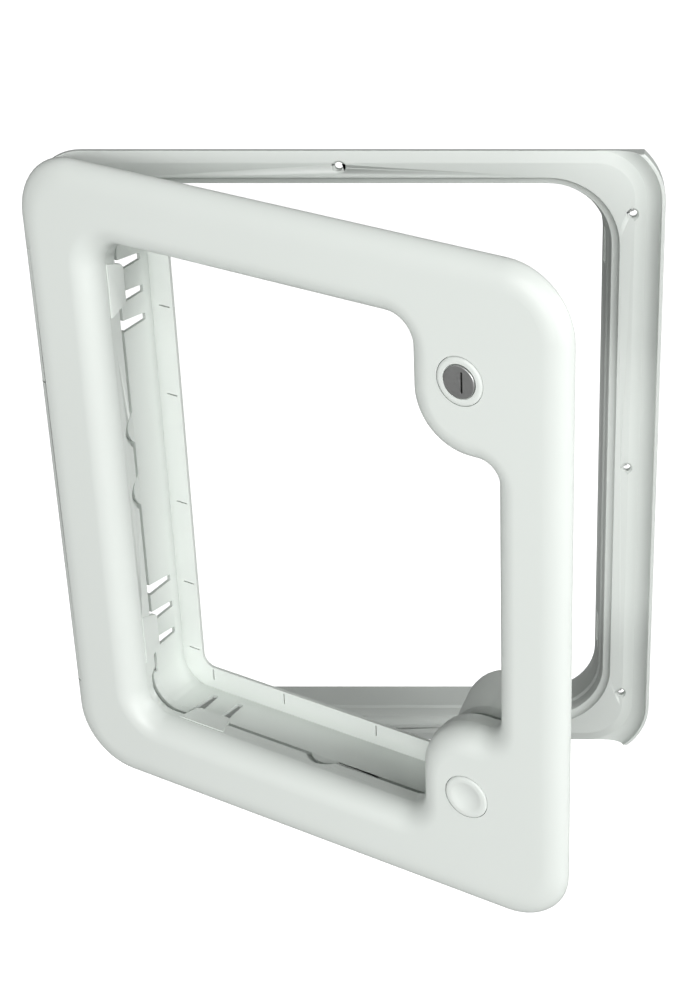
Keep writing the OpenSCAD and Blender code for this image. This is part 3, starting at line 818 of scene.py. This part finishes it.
def opening_solid(name, rows):
    """A solid through (outwards, depth) rows of the opening's outline."""
    return solid(name, [ring(OPENING, g, y) for g, y in rows])


class SERVICEDOOR_OT_inner_frame(bpy.types.Operator):
    """Build the deep inner frame behind the door's opening"""

    bl_idname = "servicedoor.inner_frame"
    bl_label = "Door inner frame"

    def execute(self, context):
        socket_out, socket_in, wall_out, wall_in = 6.4, 5.7, 4.7, 2.5
        socket_back, socket_floor = 18.8, 16.6
        body = opening_solid(
            "door_inner_moulding",
            (
                (socket_out, 4.5),
                (socket_out, socket_back),
                (wall_out, socket_back),
                (wall_out, INNER_BACK),
            ),
        )
        core = opening_solid(
            "core",
            (
                (socket_in, 3),
                (socket_in, socket_floor),
                (wall_in, socket_floor),
                (wall_in, INNER_BACK - 2),
            ),
        )
        mouth = combine(
            prism("mouth", outline(rounded_box(225.3, 283.4, 8, 166.95)), 40, 60),
            [prism("limit", outline(OPENING, -2.5), 30, 70)],
            "INTERSECT",
        )
        lobe_mouth = combine(
            prism("lobe_mouth", outline(OPENING, 0), 40, 60), [lobe_zone(30, 70)], "INTERSECT"
        )
        combine(body, [core, mouth, lobe_mouth])
        lean = opening_solid("lean", ((4.6, 23.7), (4.4, INNER_BACK), (-2.3, 51.5), (-2.3, 53.5)))
        lean_core = opening_solid(
            "lean_core", ((2.8, 22.7), (2.45, 24.1), (-4.5, 51.5), (-4.5, 54.5))
        )
        combine(lean, [lean_core])
        combine(lean, [lobe_zone(20, 60)], "INTERSECT")
        combine(body, [lean] + tongues(), "UNION")
        combine(body, slot_cutters() + slit_cutters())
        soften(body, 0.3)
        place(body, door_place())
        finished(body, "door", ["door_inner_frame"], finish_of("white"))
        return {"FINISHED"}


class SERVICEDOOR_OT_seal(bpy.types.Operator):
    """Run the rubber seal round the back of the door"""

    bl_idname = "servicedoor.seal"
    bl_label = "Door seal"

    def execute(self, context):
        tree, given, out = geometry_tree(
            "door seal",
            [
                ("Width", "NodeSocketFloat", DOOR_W - 2 * SEAL_INSET),
                ("Height", "NodeSocketFloat", DOOR_H - 2 * SEAL_INSET),
                ("Corner radius", "NodeSocketFloat", DOOR_CORNER - SEAL_INSET),
                ("Bulb radius", "NodeSocketFloat", 2.4),
                ("Foot width", "NodeSocketFloat", 4.0),
                ("Foot height", "NodeSocketFloat", 7.0),
            ],
        )
        path = add(
            tree,
            "GeometryNodeCurvePrimitiveQuadrilateral",
            {"Width": given.outputs["Width"], "Height": given.outputs["Height"]},
        )
        corner = add(
            tree,
            "GeometryNodeFilletCurve",
            {
                "Curve": path.outputs[0],
                "Radius": given.outputs["Corner radius"],
                "Count": 14,
                "Limit Radius": True,
            },
            mode="POLY",
        )
        bulb = add(
            tree,
            "GeometryNodeCurvePrimitiveCircle",
            {"Resolution": 20, "Radius": given.outputs["Bulb radius"]},
            mode="RADIUS",
        )
        foot = add(
            tree,
            "GeometryNodeCurvePrimitiveQuadrilateral",
            {"Width": given.outputs["Foot width"], "Height": given.outputs["Foot height"]},
        )
        runs = add(tree, "GeometryNodeJoinGeometry")
        foot_drop, seal_y = 4.3, 0.8
        for profile, drop in ((bulb, 0.0), (foot, foot_drop)):
            sweep = add(
                tree,
                "GeometryNodeCurveToMesh",
                {
                    "Curve": corner.outputs[0],
                    "Profile Curve": profile.outputs[0],
                    "Fill Caps": True,
                },
            )
            moved = add(
                tree,
                "GeometryNodeTransform",
                {"Geometry": sweep.outputs[0], "Translation": (0.0, 0.0, drop)},
            )
            tree.links.new(moved.outputs[0], runs.inputs[0])
        close_tree(tree, out, runs.outputs[0], finish_of("rubber"))
        seal = grown("door_seal_bulb", tree, {})
        upright_turn = Matrix.Rotation(math.radians(90), 4, "X")
        place(seal, Matrix.Translation((DOOR_X, seal_y, 0)) @ upright_turn)
        for p in seal.data.polygons:
            p.use_smooth = True
        seal.data.set_sharp_from_angle(angle=math.radians(50))
        place(seal, door_place())
        finished(seal, "door", ["door_seal"], finish_of("rubber"))
        return {"FINISHED"}


class SERVICEDOOR_OT_hinges(bpy.types.Operator):
    """Build the hinge covers and finish the pins"""

    bl_idname = "servicedoor.hinges"
    bl_label = "Hinges"

    def execute(self, context):
        outside, inside, start, end = 7.7, 5.4, 200, 260
        shell = round_points(outside, 20, a0=start, a1=end)
        shell += round_points(inside, 20, a0=start, a1=end)[::-1]
        for side, name in ((1, "upper"), (-1, "lower")):
            z = side * HINGE_Z
            cover = upright(
                name + "_cover_shell", shell, z - HINGE_COVER_HALF, z + HINGE_COVER_HALF
            )
            soften(cover, 0.4)
            place(cover, door_place())
            finished(cover, "door", [name + "_hinge_cover"], finish_of("white"))
            dress(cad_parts[name + "_hinge_pin"], finish_of("steel"))
        return {"FINISHED"}


# The buttons and the latches


def button_profile(inner):
    """Half section of a button from its inner radius out over the cap and back along the tube."""
    round_y, round_x, cap_r = -9.6, 2, 11.4
    tube_r, bead_r, tube_back = 11.8, 12.6, 12
    crown = [
        (cap_r + round_x * math.sin(t), round_y - (-BUTTON_FACE + round_y) * math.cos(t))
        for t in quarter(8)
    ]
    cap_back = [(13.4, -2.2), (13.2, -2), (tube_r, -2)]
    bead = [(tube_r, 8.4), (bead_r, 8.4), (bead_r, 9.2), (tube_r, 10)]
    return [(inner, BUTTON_FACE)] + crown + cap_back + bead + [(tube_r, tube_back)]


def button_legs():
    """Two legs behind a button, with the bevel that draws its latch back."""
    side = [(-5, 11), (3, 11), (3, 19.6), (0, 19.6), (-5, 14.6)]
    near, far = 9.5, 11.6
    return [upright("leg", side, z0, z1) for z0, z1 in ((near, far), (-far, -near))]


class SERVICEDOOR_OT_lock(bpy.types.Operator):
    """Build the lock button and its barrel"""

    bl_idname = "servicedoor.lock"
    bl_label = "Lock"

    def execute(self, context):
        bore_r, tube_back = 9.25, 12
        profile = [(bore_r, -9.9), (9.6, -10.5)] + button_profile(10.1) + [(bore_r, tube_back)]
        bm = bmesh.new()
        rings_to_faces(
            bm,
            [[Vector((a, y, b)) for a, b in round_points(r, 96)] for r, y in profile],
            True,
        )
        button = piece("lock_button_cap", bm)
        combine(button, button_legs(), "UNION")
        soften(button, 0.2)
        place(button, unit_place(1))
        finished(button, "lock_press_body", ["lock_button"], finish_of("white"))

        front = [(0, BARREL_FACE), (8.6, BARREL_FACE), (9.0, BARREL_FACE + 0.1)]
        core_r, core_back, stem_r, stem_back = 9.2, 14, 3, 18.6
        sides = [(core_r, BARREL_FACE + 0.4), (core_r, core_back)]
        stem = [(stem_r, core_back), (stem_r, stem_back), (0, stem_back)]
        barrel = turned("lock_barrel_core", front + sides + stem)
        combine(barrel, [block("key", 1.2, 2.3, -13, -1.3, -5.8, 5.8)])
        soften(barrel, 0.12)
        place(barrel, unit_place(1))
        finished(barrel, "key_barrel", ["lock_barrel"], finish_of("barrel"))
        for node in ("lock_cam", "lock_clip"):
            dress(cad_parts[node], finish_of("steel"))
        return {"FINISHED"}


class SERVICEDOOR_OT_push_button(bpy.types.Operator):
    """Build the push button with its thumb dish"""

    bl_idname = "servicedoor.push_button"
    bl_label = "Push button"

    def execute(self, context):
        depth = context.scene.service_door_sizes.dish_depth / MM
        dish_r, steps = 9.5, 14
        big = (dish_r * dish_r + depth * depth) / (2 * depth)
        sweep = [math.asin(dish_r / big) * i / steps for i in range(steps)]
        dish = [(big * math.sin(t), BUTTON_FACE + depth - big * (1 - math.cos(t))) for t in sweep]
        profile = dish + [(dish_r + 0.15, BUTTON_FACE + 0.02)] + button_profile(10.1)
        profile += [(9.8, 12), (9.8, -2), (0, -2)]
        button = turned("push_button_cap", profile)
        combine(button, button_legs(), "UNION")
        soften(button, 0.2)
        place(button, unit_place(-1))
        finished(button, "push_button_body", ["push_button"], finish_of("white"))
        return {"FINISHED"}


class SERVICEDOOR_OT_mechanism(bpy.types.Operator):
    """Wind the springs and finish the housings and latches"""

    bl_idname = "servicedoor.mechanism"
    bl_label = "Latch mechanism"

    def execute(self, context):
        tree, given, out = geometry_tree(
            "coil spring",
            [
                ("Turns", "NodeSocketFloat", 3.0),
                ("Radius", "NodeSocketFloat", 12.85),
                ("Length", "NodeSocketFloat", 7.1),
                ("Wire radius", "NodeSocketFloat", 0.45),
            ],
        )
        latch_sizes = {"Turns": 4.0, "Radius": 1.5, "Length": 5.5, "Wire radius": 0.35}
        spiral = add(
            tree,
            "GeometryNodeCurveSpiral",
            {
                "Resolution": 40,
                "Rotations": given.outputs["Turns"],
                "Start Radius": given.outputs["Radius"],
                "End Radius": given.outputs["Radius"],
                "Height": given.outputs["Length"],
            },
        )
        wire = add(
            tree,
            "GeometryNodeCurvePrimitiveCircle",
            {"Resolution": 12, "Radius": given.outputs["Wire radius"]},
            mode="RADIUS",
        )
        sweep = add(
            tree,
            "GeometryNodeCurveToMesh",
            {
                "Curve": spiral.outputs[0],
                "Profile Curve": wire.outputs[0],
                "Fill Caps": True,
            },
        )
        close_tree(tree, out, sweep.outputs[0], finish_of("steel"))
        square = math.radians(90)
        forward = Matrix.Translation((0, 5.55, 0)) @ Matrix.Rotation(square, 4, "X")
        sideways = Matrix.Translation((-16.85, 26, 0)) @ Matrix.Rotation(square, 4, "Y")
        for side, press, slide in (
            (1, "lock_spring", "upper_latch_spring"),
            (-1, "button_spring", "lower_latch_spring"),
        ):
            for node, values, local in ((press, {}, forward), (slide, latch_sizes, sideways)):
                coil = grown(node + "_wire", tree, values)
                for p in coil.data.polygons:
                    p.use_smooth = True
                place(coil, unit_place(side) @ local)
                finished(coil, "door", [node], finish_of("steel"))
        for unit in ("lock", "button"):
            for shell in ("_housing", "_housing_cover"):
                dress(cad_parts[unit + shell], finish_of("housing"))
        for node in ("upper_latch", "lower_latch"):
            dress(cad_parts[node], finish_of("steel"))
        return {"FINISHED"}


# The studio


def area_light(name, spot, aim, size, power):
    data = bpy.data.lights.new(name, "AREA")
    data.shape, data.size, data.size_y = "RECTANGLE", size[0], size[1]
    data.energy = power
    obj = bpy.data.objects.new(name, data)
    obj.location = spot
    obj.rotation_euler = (Vector(aim) - Vector(spot)).to_track_quat("-Z", "Y").to_euler()
    bpy.context.scene.collection.objects.link(obj)


class SERVICEDOOR_OT_stage(bpy.types.Operator):
    """Set the floor, the lights and the camera"""

    bl_idname = "servicedoor.stage"
    bl_label = "Stage"

    def execute(self, context):
        scene = context.scene
        power = scene.service_door_looks.light_power
        bm = bmesh.new()
        bmesh.ops.create_grid(bm, x_segments=1, y_segments=1, size=12)
        floor = piece("floor", bm)
        floor.data.transform(Matrix.Translation((0, 3, -0.9)))
        mat = bpy.data.materials.new("floor")
        mat.use_nodes = True
        shader = mat.node_tree.nodes["Principled BSDF"]
        shader.inputs["Base Color"].default_value = (0.92, 0.92, 0.92, 1)
        shader.inputs["Roughness"].default_value = 0.9
        shader.inputs["Emission Color"].default_value = (1, 1, 1, 1)
        shader.inputs["Emission Strength"].default_value = 1.0
        dress(floor, mat)
        floor.visible_diffuse = floor.visible_glossy = False

        world = bpy.data.worlds.new("studio")
        world.use_nodes = True
        sky = world.node_tree.nodes["Background"]
        sky.inputs["Color"].default_value = (1, 1, 1, 1)
        sky.inputs["Strength"].default_value = 0.15 * power
        scene.world = world
        for name, spot, size, watts in (
            ("key", (1.6, -1.9, 1.1), (1.4, 1.4), 30),
            ("front", (-0.5, -2.6, 0.3), (2.2, 1.6), 42),
            ("left", (-1.6, -2.2, 0.5), (0.8, 0.8), 13),
            ("right", (2.6, -1.0, 1.4), (0.8, 0.8), 26),
            ("low", (0.3, -2.2, -0.6), (1.6, 0.6), 4),
        ):
            area_light(name, spot, (0, -0.05, 0), size, watts * power)

        lens = bpy.data.cameras.new("camera")
        sensor, pitch = 36, 29.435
        lens.sensor_width, lens.lens = sensor, sensor * FOCAL_PX / PHOTO_H
        lens.shift_x = -(CENTRE_PX - PHOTO_W / 2) / PHOTO_H
        lens.clip_start, lens.clip_end = 0.05, 50
        camera = bpy.data.objects.new("camera", lens)
        camera.location = (0.1009, -1.1255, 0.6146)
        camera.rotation_euler = (math.radians(90 - pitch), 0, 0)
        scene.collection.objects.link(camera)
        scene.camera = camera
        scene.view_settings.view_transform = "Standard"
        scene.view_settings.look = "None"
        return {"FINISHED"}


OPERATORS = (
    SERVICEDOOR_OT_stage,
    SERVICEDOOR_OT_wall_frame,
    SERVICEDOOR_OT_outer_frame,
    SERVICEDOOR_OT_inner_frame,
    SERVICEDOOR_OT_seal,
    SERVICEDOOR_OT_hinges,
    SERVICEDOOR_OT_lock,
    SERVICEDOOR_OT_push_button,
    SERVICEDOOR_OT_mechanism,
)


GROUPS = {
    "service_door_frame": ServiceDoorFrameSizes,
    "service_door_sizes": ServiceDoorSizes,
    "service_door_looks": ServiceDoorLooks,
}


class SERVICEDOOR_PT_panel(bpy.types.Panel):
    """Shows the sizes, the looks and a button for each step"""

    bl_idname = "SERVICEDOOR_PT_panel"
    bl_label = "Service door"
    bl_space_type = "VIEW_3D"
    bl_region_type = "UI"
    bl_category = "Service door"

    def draw(self, context):
        layout = self.layout
        for prop in GROUPS:
            group = getattr(context.scene, prop)
            box = layout.box()
            for name in group.bl_rna.properties.keys():
                if name not in ("rna_type", "name"):
                    box.prop(group, name)
        for operator in OPERATORS:
            layout.operator(operator.bl_idname)


CLASSES = tuple(GROUPS.values()) + OPERATORS + (SERVICEDOOR_PT_panel,)


def register():
    for cls in CLASSES:
        bpy.utils.register_class(cls)
    for prop, group in GROUPS.items():
        setattr(bpy.types.Scene, prop, PointerProperty(type=group))


def unregister():
    for prop in GROUPS:
        delattr(bpy.types.Scene, prop)
    for cls in reversed(CLASSES):
        bpy.utils.unregister_class(cls)


def main():
    register()
    for operator in OPERATORS:
        group, name = operator.bl_idname.split(".")
        getattr(getattr(bpy.ops, group), name)()


if __name__ == "__main__":
    main()
